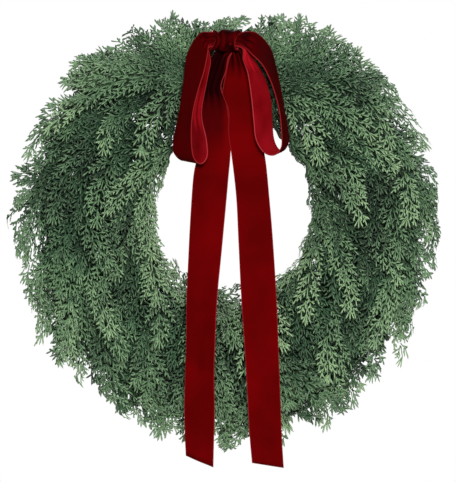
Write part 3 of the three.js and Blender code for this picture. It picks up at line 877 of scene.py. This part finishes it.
def attribute(tree, name):
    """A value that float_attribute gave the piece."""
    return node(tree, "ShaderNodeAttribute", attribute_name=name).outputs["Fac"]


def noise(tree, place, scale, detail):
    made = node(tree, "ShaderNodeTexNoise", {"Vector": place, "Scale": scale, "Detail": detail})
    return made.outputs["Fac"]


def calculated(tree, operation, *values):
    """The result of an operation on values or outputs."""
    return node(tree, "ShaderNodeMath", dict(enumerate(values)), operation=operation).outputs[0]


def share_between(tree, value, start, end):
    """From 0 at a start to 1 at an end."""
    made = node(tree, "ShaderNodeMapRange", {"Value": value, "From Min": start, "From Max": end})
    return made.outputs["Result"]


def mixed(tree, share, first, second):
    """A colour that goes from one to another as the share does from 0 to 1."""
    return node(tree, "ShaderNodeMix", {0: share, 6: first, 7: second}, data_type="RGBA").outputs[2]


def ramp(tree, factor, stops):
    """A colour that goes through stops, each a position and a colour."""
    made = node(tree, "ShaderNodeValToRGB", {"Fac": factor})
    elements = made.color_ramp.elements
    while len(elements) < len(stops):
        elements.new(0.5)
    for element, (position, value) in zip(elements, stops):
        element.position = position
        element.color = value
    return made.outputs["Color"]


def bump(tree, height, strength, distance):
    made = node(tree, "ShaderNodeBump", {"Height": height, "Strength": strength, "Distance": distance})
    return made.outputs["Normal"]


# Effects that several materials share, as groups
def new_group(name, inputs, outputs):
    """A group of nodes, its inputs, and the node that its outputs are filled in on."""
    group = bpy.data.node_groups.new(name, "ShaderNodeTree")
    for title, kind in inputs.items():
        group.interface.new_socket(title, in_out="INPUT", socket_type="NodeSocket" + kind)
    for title, kind in outputs.items():
        group.interface.new_socket(title, in_out="OUTPUT", socket_type="NodeSocket" + kind)
    return group, node(group, "NodeGroupInput").outputs, node(group, "NodeGroupOutput")


def relief_group():
    """Fine grain: how it varies over the surface, and the normal that it gives."""
    group, given, result = new_group(
        "relief",
        {"Place": "Vector", "Scale": "Float", "Detail": "Float", "Strength": "Float", "Distance": "Float"},
        {"Grain": "Float", "Normal": "Vector"},
    )
    grain = noise(group, given["Place"], given["Scale"], given["Detail"])
    normal = bump(group, grain, given["Strength"], given["Distance"])
    fill_in(group, result, {"Grain": grain, "Normal": normal})
    return group


def ribbon_group():
    """The ribbon's colour in soft patches, darkened by painted shade in its tight folds, in the knot's
    hollows, under the loops and at the right loop's top, and by the Shade input, and lighter at its
    selvedges.
    """
    group, given, result = new_group(
        "ribbon",
        {
            "Place": "Vector",
            "Dark": "Color",
            "Light": "Color",
            "Shade Colour": "Color",
            "Selvedge": "Color",
            "Painted Shade Weight": "Float",
            "Shade": "Float",
        },
        {"Color": "Color"},
    )
    patches = share_between(group, noise(group, given["Place"], 16, 2), 0.35, 0.7)
    body = mixed(group, patches, given["Dark"], given["Light"])
    # The painted shade that the piece carries: in tight folds, in the knot's hollows, under the loops and
    # at the right loop's top
    folds = attribute(group, "painted_shade")
    darker = calculated(group, "MULTIPLY_ADD", folds, given["Painted Shade Weight"], given["Shade"])
    shaded = mixed(group, darker, body, given["Shade Colour"])
    cut = node(group, "ShaderNodeUVMap", uv_map="cut").outputs["UV"]
    across = node(group, "ShaderNodeSeparateXYZ", {0: cut}).outputs["X"]
    from_middle = calculated(group, "ABSOLUTE", calculated(group, "SUBTRACT", across, 0.5))
    selvedge = share_between(group, from_middle, *SELVEDGE)
    fill_in(group, result, {"Color": mixed(group, selvedge, shaded, given["Selvedge"])})
    return group


relief = relief_group()
ribbon = ribbon_group()


def add_relief(tree, shader, scale, detail, strength, distance):
    """The relief group placed in a material, whose normal it gives, and its grain."""
    values = {"Scale": scale, "Detail": detail, "Strength": strength, "Distance": distance}
    values["Place"] = object_place(tree)
    made = node(tree, "ShaderNodeGroup", values, node_tree=relief)
    fill_in(tree, shader, {"Normal": made.outputs["Normal"]})
    return made.outputs["Grain"]


# Materials
def cedar_material():
    """Scale foliage: painted shade makes it dark and bluish where it lies deep and towards the fronds'
    roots, and the outer branchlets' tips are yellowish, partly their own colour and partly painted light.
    """
    material, tree, shader = new_material("cedar_foliage")
    place = object_place(tree)
    tips = attribute(tree, "tip")
    tone = attribute(tree, "tone")
    patches = calculated(tree, "MULTIPLY_ADD", noise(tree, place, 17, 3), 0.9, -0.45)
    # The ramp runs from dark bluish green, the painted shade deep in the foliage, to light sage at its
    # surface, with random patches
    shaded_green = ramp(
        tree,
        calculated(tree, "ADD", tone, patches),
        (
            (0.0, colour(16, 40, 26)),
            (0.3, colour(50, 85, 58)),
            (0.6, colour(94, 132, 92)),
            (1.0, colour(130, 164, 118)),
        ),
    )
    # Lighter towards the tips: partly their own colour and partly painted light, only as much as the
    # painted shade in the tone lets
    tip_colour_and_highlight = calculated(tree, "MULTIPLY", calculated(tree, "MULTIPLY", tips, tone), 0.45)
    scales = node(tree, "ShaderNodeTexVoronoi", {"Vector": place, "Scale": 620})
    inputs = {
        "Base Color": mixed(tree, tip_colour_and_highlight, shaded_green, colour(196, 220, 176)),
        "Normal": bump(tree, scales.outputs["Distance"], 0.5, 0.0004),
        "Roughness": 0.5,
        "Specular IOR Level": 0.32,
    }
    fill_in(tree, shader, inputs)
    return material


def bark_material():
    material, tree, shader = new_material("cedar_bark")
    grain = add_relief(tree, shader, scale=300, detail=4, strength=0.6, distance=0.0006)
    brown = ramp(tree, grain, ((0.3, colour(52, 58, 38)), (0.7, colour(94, 92, 62))))
    fill_in(tree, shader, {"Base Color": brown, "Roughness": 0.8})
    return material


def wire_material():
    """Green paint, worn in small spots."""
    material, tree, shader = new_material("painted_wire")
    grain = add_relief(tree, shader, scale=180, detail=5, strength=0.3, distance=0.0003)
    stops = ((0.35, colour(30, 44, 28)), (0.62, colour(44, 60, 40)), (0.75, colour(70, 74, 62)))
    inputs = {"Base Color": ramp(tree, grain, stops), "Metallic": 0.3, "Roughness": 0.45}
    fill_in(tree, shader, inputs)
    return material


def velvet_material(name, dark, light, selvedge, painted_shade_weight, edge_on, roughness, sheen):
    """One side of the ribbon, with a fine nap, and darker where it is seen edge on."""
    material, tree, shader = new_material(name)
    add_relief(tree, shader, scale=1500, detail=2, strength=0.35, distance=0.0003)
    seen_edge_on = node(tree, "ShaderNodeLayerWeight", {"Blend": 0.5}).outputs["Facing"]
    values = {
        "Place": object_place(tree),
        "Dark": dark,
        "Light": light,
        # the colour that the painted shade and the edge-on shade darken towards
        "Shade Colour": colour(30, 0, 2),
        "Selvedge": selvedge,
        "Painted Shade Weight": painted_shade_weight,
        "Shade": calculated(tree, "MULTIPLY", seen_edge_on, edge_on),
    }
    inputs = {
        "Base Color": node(tree, "ShaderNodeGroup", values, node_tree=ribbon).outputs["Color"],
        "Roughness": roughness,
        "Specular IOR Level": 0.02,
        "Sheen Weight": sheen,
        "Sheen Roughness": 0.35,
        "Sheen Tint": (0.7, 0.02, 0.03, 1),
    }
    fill_in(tree, shader, inputs)
    return material


cedar = cedar_material()
bark = bark_material()
velvet = velvet_material(
    "velvet_pile",
    dark=colour(86, 0, 1),
    light=colour(103, 0, 2),
    selvedge=colour(140, 30, 34),
    painted_shade_weight=1,
    edge_on=EDGE_ON_SHADE,
    roughness=0.85,
    sheen=0.03,
)
velvet_back = velvet_material(
    "velvet_back",
    dark=colour(124, 5, 11),
    light=colour(176, 20, 34),
    selvedge=colour(186, 70, 74),
    painted_shade_weight=0.2,
    edge_on=0.15,
    roughness=0.5,
    sheen=0.22,
)
painted_wire = wire_material()


# The sprays
def depth_shade(points):
    """From 0 deep in the body's section to 1 at its surface."""
    across = (np.hypot(points[:, 0], points[:, 2]) - BODY_RADIUS) / BODY_HALF_WIDTH
    forward = (points[:, 1] - BODY_AXIS_Y) / BODY_HALF_DEPTH
    share = rising(np.hypot(across, forward), DEEPEST, 1 - DEEPEST)
    return share**2 * (3 - 2 * share)


def added_fronds(spray):
    """The lean, length, fullness and grain of each frond added to a spray of the part."""
    _, row, _, number = spray.node.split("_")
    away = abs(spray.fork.turn)
    added = FILLERS
    if row == "crown":
        added += ON_THE_CROWN
        added += OUT_BESIDE_THE_TOP if away > BESIDE_THE_TOP else AT_THE_TOP
    elif (row, number) == ("inner", "1"):
        added += INSIDE_THE_TOP
    elif (row, number) == ("hole", "1"):
        added += OVER_THE_HOLE
    elif (row, number) == ("inner", "6"):
        added += AT_THE_BOTTOM
    elif spray.fork.side > 0 and away < SHOULDER:
        added += AT_THE_SHOULDER
    elif row == "edge" and away < HAUNCH:
        added += AT_THE_SIDE
    return added + tuple((*one[1:], OUTER_GRAIN) for one in STANDING_OUT if one[0] == spray.node)


def spray_piece(spray):
    """A spray as one piece: the part's fronds and the added ones, all cut finely, and its stem."""
    parts = []
    painted_shade_tones = []

    def add_frond(lean, length, lift, fullest, grain, tone):
        line, ways = rib(spray.fork, length, lean, lift, fullest)
        flat = flat_frond(length, grain)
        shape = bent_along(flat, smooth(line, 5), smooth(ways, 5), length, grain)
        parts.append(shape)
        along = rising(flat.points[:, 1], 0, length)
        # Painted shade in the tone: darker towards each frond's root and deep in the body's section
        painted_shade_tones.append(tone * (0.55 + 0.45 * along) * (0.25 + 0.75 * depth_shade(shape.points)))

    own_tone = rng.uniform(0.55, 1.0)
    for lean, length, lift in spray.fronds:
        add_frond(lean, length, lift, 1.0, OUTER_GRAIN, own_tone * rng.uniform(0.7, 1.25))
    for degrees, share, fullest, grain in added_fronds(spray):
        lean = degrees * DEGREE
        further = FILLED_FURTHER if grain == OUTER_GRAIN else 0
        length = frond_length(share, spray.fork, lean, spray.spread, further)
        # Deeper grains get a lower tone, which is painted shade, besides their random tone
        tone = grain.tone * own_tone * rng.uniform(0.6, 1.2)
        add_frond(lean, length, -SUNK, fullest, grain, tone)
    foliage_faces = sum(len(shape.faces) for shape in parts)
    parts.append(stem_shape(spray))
    painted_shade_tones.append(np.zeros(len(parts[-1].points)))
    whole = together(parts)
    piece = mesh_object("spray_" + spray.node[len("cedar_"):], whole, cedar)
    piece.data.materials.append(bark)
    for face in piece.data.polygons[foliage_faces:]:
        face.material_index = 1
    float_attribute(piece, "tip", whole.tips)
    float_attribute(piece, "tone", np.concatenate(painted_shade_tones))
    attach(piece, "root")
    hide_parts(spray.node)


# The frame, the stems and the wire that binds them to the rails
def frame_piece():
    """Both rails and the wires across them, with a bead of weld at each joint."""
    unselect_all()
    made = []
    middle = tuple(RING_CENTRE * MM)
    for radius in (OUTER_RAIL, INNER_RAIL):
        bpy.ops.mesh.primitive_torus_add(
            major_radius=radius * MM,
            minor_radius=WIRE / 2 * MM,
            major_segments=120,
            minor_segments=12,
            location=middle,
            rotation=(math.pi / 2, 0, 0),
        )
        made.append(bpy.context.object)
    for i in range(CROSS_WIRES):
        turn = (i + 0.25) * 2 * math.pi / CROSS_WIRES
        way = np.array((math.sin(turn), 0, math.cos(turn)))
        bpy.ops.mesh.primitive_cylinder_add(
            vertices=12,
            radius=CROSS_WIRE_RADIUS * MM,
            depth=(OUTER_RAIL - INNER_RAIL) * MM,
            location=tuple((RING_CENTRE + way * (OUTER_RAIL + INNER_RAIL) / 2) * MM),
            rotation=(0, turn, 0),
        )
        made.append(bpy.context.object)
        for radius in (OUTER_RAIL - WIRE / 2, INNER_RAIL + WIRE / 2):
            bpy.ops.mesh.primitive_uv_sphere_add(
                segments=12,
                ring_count=8,
                radius=BEAD_RADIUS * MM,
                location=tuple((RING_CENTRE + way * radius) * MM),
            )
            bead = bpy.context.object
            bead.scale = (1, 0.8, 1)
            made.append(bead)
    unselect_all()
    for thing in made:
        thing.select_set(True)
    bpy.context.view_layer.objects.active = made[0]
    bpy.ops.object.join()
    bpy.ops.object.transform_apply(location=True, rotation=True, scale=True)
    piece = bpy.context.object
    piece.name = "frame_wires"
    piece.data.materials.append(painted_wire)
    piece.data.shade_smooth()
    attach(piece, "root")
    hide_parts("wire_frame")


def wire_piece(name, shapes, replaced=()):
    """Wires as one piece, which stands for nodes of the part where it replaces them."""
    piece = mesh_object(name, together(shapes), painted_wire)
    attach(piece, "root")
    if replaced:
        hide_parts(*replaced)


def helix(line, start_way, radius, pitch, start):
    """A line wound round another, which has its points close together."""
    along = unit(np.gradient(line, axis=0))
    across = unit(np.cross(along, start_way))
    up = np.cross(across, along)
    travelled = travelled_along(line)
    angle = (2 * math.pi * travelled / pitch + start)[:, None]
    return line + (np.cos(angle) * across + np.sin(angle) * up) * radius


def tie_piece():
    """The tie: two wires twisted together."""
    x, _, _, _, y, z = TAILS[TAILS_TOP]
    behind = y + RIBBON / 2 + GAP + TIE_RADIUS
    on_rail = OUTER_RAIL + WIRE / 2 + GAP + TIE_RADIUS
    way = [(x, behind + back, z + up) for back, up in TIE_WAY]
    way += [(x, back, on_rail + up) for back, up in TIE_ON_RAIL]
    line = smooth(way, 24)
    strand = TIE_RADIUS / 2
    sideways = np.array((1.0, 0, 0))
    strands = []
    for start in (0, math.pi):
        wound = helix(line, sideways, strand, TIE_PITCH, start)
        strands.append(tube(wound, np.full(len(wound), strand), 6, sideways))
    wire_piece("tie_wires", strands, ["bow_tie"])


def stem_shape(spray):
    """The woody stem, from its seat to the fork."""
    line = kept_in(smooth(stem_path(spray.fork, spray.shift), 5), 0, 0)
    share = np.linspace(0, len(STEM_TAPER) - 1, len(line))
    radii = STEM_RADIUS * np.interp(share, range(len(STEM_TAPER)), STEM_TAPER)
    return tube(line, radii, 8, np.array((0.0, -1, 0)))


def binding_shape(spray):
    """A few turns of thin wire round a stem's seat and the rail behind it."""
    end, seat = (np.array(point) for point in stem_path(spray.fork, spray.shift)[:2])
    points = 9 * BINDING_TURNS
    share = np.linspace(0, 1, points + 1)
    angle = 2 * math.pi * BINDING_TURNS * share
    half_width = STEM_RADIUS + BINDING_WIRE
    front = seat[1] - STEM_RADIUS - BINDING_WIRE
    back = WIRE / 2 + BINDING_WIRE
    along = unit(seat - end)
    side = np.cross(along, (0, 1, 0))
    line = end + (seat - end) * (0.25 + 0.5 * share)[:, None] + np.cos(angle)[:, None] * side * half_width
    line[:, 1] = (front + back) / 2 + np.sin(angle) * (back - front) / 2
    return tube(line, np.full(points + 1, BINDING_WIRE), 5, along)


for spray in sprays:
    spray_piece(spray)
frame_piece()
tie_piece()
wire_piece("spray_bindings", [binding_shape(spray) for spray in sprays])


# The bow
def ribbon_grid(stations, gathers):
    """The ribbon's points across and along it, drawn into folds where the stations are narrow, and painted
    shade where the folds are tight.
    """
    stations = np.array(stations, float)
    near = smooth(stations[:, :3], RIBBON_STEPS)
    far = smooth(stations[:, 3:], RIBBON_STEPS)
    across = far - near
    width = np.linalg.norm(across, axis=1)
    middle = (near + far) / 2
    along = unit(np.gradient(middle, axis=0))
    face = unit(np.cross(across, along))
    travelled = travelled_along(middle)
    tightness = np.maximum(0, (GATHERED_BELOW / width) ** 2 - 1)
    depth = width / (2 * math.pi * gathers) * np.sqrt(2 * tightness)
    u = np.linspace(0, 1, RIBBON_DIVISIONS + 1)
    sway = FOLD_SWAY * np.sin(travelled / 23)
    folds = depth[:, None] * np.sin(2 * math.pi * gathers * u[None, :] + sway[:, None])
    folds *= np.minimum(1, 8 * np.minimum(u, 1 - u) + FOLDS_AT_SELVEDGE)[None, :]
    flat = near[:, None, :] + across[:, None, :] * u[None, :, None]
    grid = flat + face[:, None, :] * folds[:, :, None]
    # Painted shade on the pile where the folds are tight
    painted_shade = GATHERED_SHADE * np.clip(tightness, 0, 1)[:, None] * np.ones(len(u))
    return grid, face, travelled, u, painted_shade


def cloth_piece(name, grid, travelled, u, painted_shade, closed=False):
    """A ribbon of that grid: the pile on its outer side and the smooth reverse on the other."""
    rows, columns = grid.shape[:2]
    mesh = bpy.data.meshes.new(name)
    faces = []
    for row in range(rows if closed else rows - 1):
        after = (row + 1) % rows
        for column in range(columns - 1):
            first, second = row * columns + column, after * columns + column
            faces.append((first, first + 1, second + 1, second))
    mesh.from_pydata(((grid.reshape(-1, 3) + RING_CENTRE) * MM).tolist(), [], faces)
    cut = mesh.uv_layers.new(name="cut")
    for k, face in enumerate(faces):
        row, column = divmod(k, columns - 1)
        ends = (travelled[row], travelled[row + 1] if row + 1 < len(travelled) else travelled[row])
        corners = ((column, 0), (column + 1, 0), (column + 1, 1), (column, 1))
        for loop, (at, far) in zip(mesh.polygons[k].loop_indices, corners):
            cut.data[loop].uv = (u[at], ends[far] * MM)
    mesh.materials.append(velvet)
    mesh.materials.append(velvet_back)
    mesh.shade_smooth()
    piece = bpy.data.objects.new(name, mesh)
    float_attribute(piece, "painted_shade", painted_shade.reshape(-1))
    bpy.context.scene.collection.objects.link(piece)
    unselect_all()
    bpy.context.view_layer.objects.active = piece
    piece.select_set(True)
    thick = piece.modifiers.new("cloth", "SOLIDIFY")
    thick.thickness = RIBBON * MM
    thick.offset = 0
    thick.material_offset = 1
    bpy.ops.object.modifier_apply(modifier="cloth")
    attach(piece, "root")
    return piece


def tails_piece():
    """The ribbon folded over at the knot: both tails, which wave a little where they hang free."""
    grid, face, travelled, u, painted_shade = ribbon_grid(TAILS, TAIL_FOLDS)
    hanging = rising(-grid[:, :, 2].mean(axis=1), -WAVES_BELOW, 80)
    wave = np.sin(travelled / 31) + 0.6 * np.sin(travelled / 17 + 1)
    cupped = TAIL_CUPPED * np.cos(2 * math.pi * (u - 0.5))[None, :] * np.cos(travelled / 60)[:, None]
    moved = hanging[:, None] * (TAIL_WAVE * wave[:, None] + cupped)
    grid = grid + face[:, None, :] * moved[:, :, None]
    # Painted shadow where the left tail lies under the right one and the loops
    left_of, above = UNDER_THE_LOOPS
    high = rising(grid[..., 2], above, 40)
    on_the_left = rising(-grid[..., 0], -left_of, 6)
    painted_shade += UNDER_THE_LOOPS_SHADE * high * on_the_left
    piece = cloth_piece("ribbon_tails", grid, travelled, u, painted_shade)
    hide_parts("bow_tails")


def loops_piece():
    """One ribbon that runs round both loops and through the knot."""
    grid, _, travelled, u, painted_shade = ribbon_grid(LEFT_LOOP + RIGHT_LOOP, FOLDS)
    # Painted shade at the top of the right loop, where it turns over
    right_of, above = LOOP_TOP
    high = rising(grid[..., 2], above, 30)
    on_the_right = rising(grid[..., 0], right_of, 8)
    painted_shade += LOOP_TOP_SHADE * high * on_the_right
    piece = cloth_piece("ribbon_loops", grid, travelled, u, painted_shade)
    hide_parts("bow_loops")


def knot_piece():
    """The ribbon tied round the middle, in a closed band with folds round it."""
    u = np.linspace(0, 1, RIBBON_DIVISIONS + 1)
    depth = (KNOT_BACK - KNOT_FRONT) / 2
    rows = []
    painted_hollow_shade = []
    for step in range(KNOT_STEPS):
        angle = 2 * math.pi * step / KNOT_STEPS
        in_front = max(0, -math.cos(angle))
        width = KNOT_WIDTH * (1 - KNOT_NARROWING * in_front)
        phase = 0.9 * math.sin(angle) + 0.5 * math.sin(3 * angle + 1)
        bunched = u + 0.09 * np.sin(2 * math.pi * u + 1.5 * math.cos(angle))
        folded = np.sin(2 * math.pi * KNOT_FOLDS * bunched + phase)
        uneven = 0.7 + 0.3 * np.sin(5 * u + angle)
        out = KNOT_FOLD_DEPTH * (folded - 1) * uneven + (4 * u * (1 - u) - 1)
        x = KNOT_X + width * (u - 0.5) + 2.5 * math.sin(angle)
        y = (KNOT_FRONT + KNOT_BACK) / 2 + (depth + out) * math.cos(angle)
        z = KNOT_Z + (KNOT_HALF_HEIGHT + out) * math.sin(angle)
        rows.append(np.stack((x, y, z), axis=1))
        # Painted shade, darkest in the knot's hollows
        painted_hollow_shade.append(KNOT_SHADE * (0.75 - 0.25 * folded))
    grid = np.array(rows)[::-1]
    shaded = np.array(painted_hollow_shade)[::-1]
    travelled = np.arange(KNOT_STEPS + 1) / KNOT_STEPS * 2 * math.pi * (KNOT_HALF_HEIGHT + depth) / 2
    piece = cloth_piece("ribbon_knot", grid, travelled, u, shaded, closed=True)
    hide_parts("bow_knot")


tails_piece()
loops_piece()
knot_piece()


# The floor, the camera, the lights and the world
FLOOR_SIZE = 1.6  # these three in metres, as are the lights' places and sizes
FLOOR_HEIGHT = -0.78
LIT_AT = (0, 0, -0.25)
PICTURE_CENTRE = np.array((-1.4, -40, -30.8))
PICTURE_HEIGHT = 675
LENS = 600
SENSOR = 36
WORLD_LIGHT = 0.13


def pale_floor():
    """A floor well below, out of the picture."""
    bpy.ops.mesh.primitive_plane_add(size=FLOOR_SIZE, location=(0, 0, FLOOR_HEIGHT))
    floor = bpy.context.object
    floor.name = "floor"
    material, tree, shader = new_material("pale_floor")
    fill_in(tree, shader, {"Base Color": colour(238, 238, 236), "Roughness": 0.9})
    floor.data.materials.append(material)


def far_camera():
    """The camera, level with the wreath's middle and far off, and the photo's frame."""
    data = bpy.data.cameras.new("camera")
    data.lens = LENS
    data.sensor_width = SENSOR
    data.clip_end = 50
    camera = bpy.data.objects.new("camera", data)
    bpy.context.scene.collection.objects.link(camera)
    distance = PICTURE_HEIGHT / 2 / (SENSOR / 2 / LENS)
    camera.location = (PICTURE_CENTRE + RING_CENTRE + np.array((0, -distance, 0))) * MM
    camera.rotation_euler = (math.pi / 2, 0, 0)
    bpy.context.scene.camera = camera


def soft_light(name, place, size, watts):
    """A round light that is turned to the wreath."""
    data = bpy.data.lights.new(name, "AREA")
    data.shape = "DISK"
    data.size = size
    data.energy = watts
    lamp = bpy.data.objects.new(name, data)
    bpy.context.scene.collection.objects.link(lamp)
    lamp.location = place
    lamp.rotation_euler = (Vector(LIT_AT) - Vector(place)).to_track_quat("-Z", "Y").to_euler()


def studio_world():
    """A world that the camera sees as white, and that lights the wreath only a little."""
    world = bpy.data.worlds.new("studio")
    world.use_nodes = True
    bpy.context.scene.world = world
    tree = world.node_tree
    seen = node(tree, "ShaderNodeBackground", {"Color": (1, 1, 1, 1), "Strength": 1})
    lit = node(tree, "ShaderNodeBackground", {"Color": (0.9, 0.95, 1, 1), "Strength": WORLD_LIGHT})
    by_camera = node(tree, "ShaderNodeLightPath").outputs["Is Camera Ray"]
    both = node(tree, "ShaderNodeMixShader", {0: by_camera, 1: lit.outputs[0], 2: seen.outputs[0]})
    fill_in(tree, tree.nodes["World Output"], {"Surface": both.outputs[0]})


pale_floor()
far_camera()
soft_light("key", (0.15, -2.8, 0.4), 0.6, 78)
soft_light("fill", (-1.2, -1.9, 1.9), 0.9, 5)
soft_light("back", (0.4, 1.8, 1.2), 1.2, 42)
studio_world()
bpy.context.scene.view_settings.view_transform = "Standard"
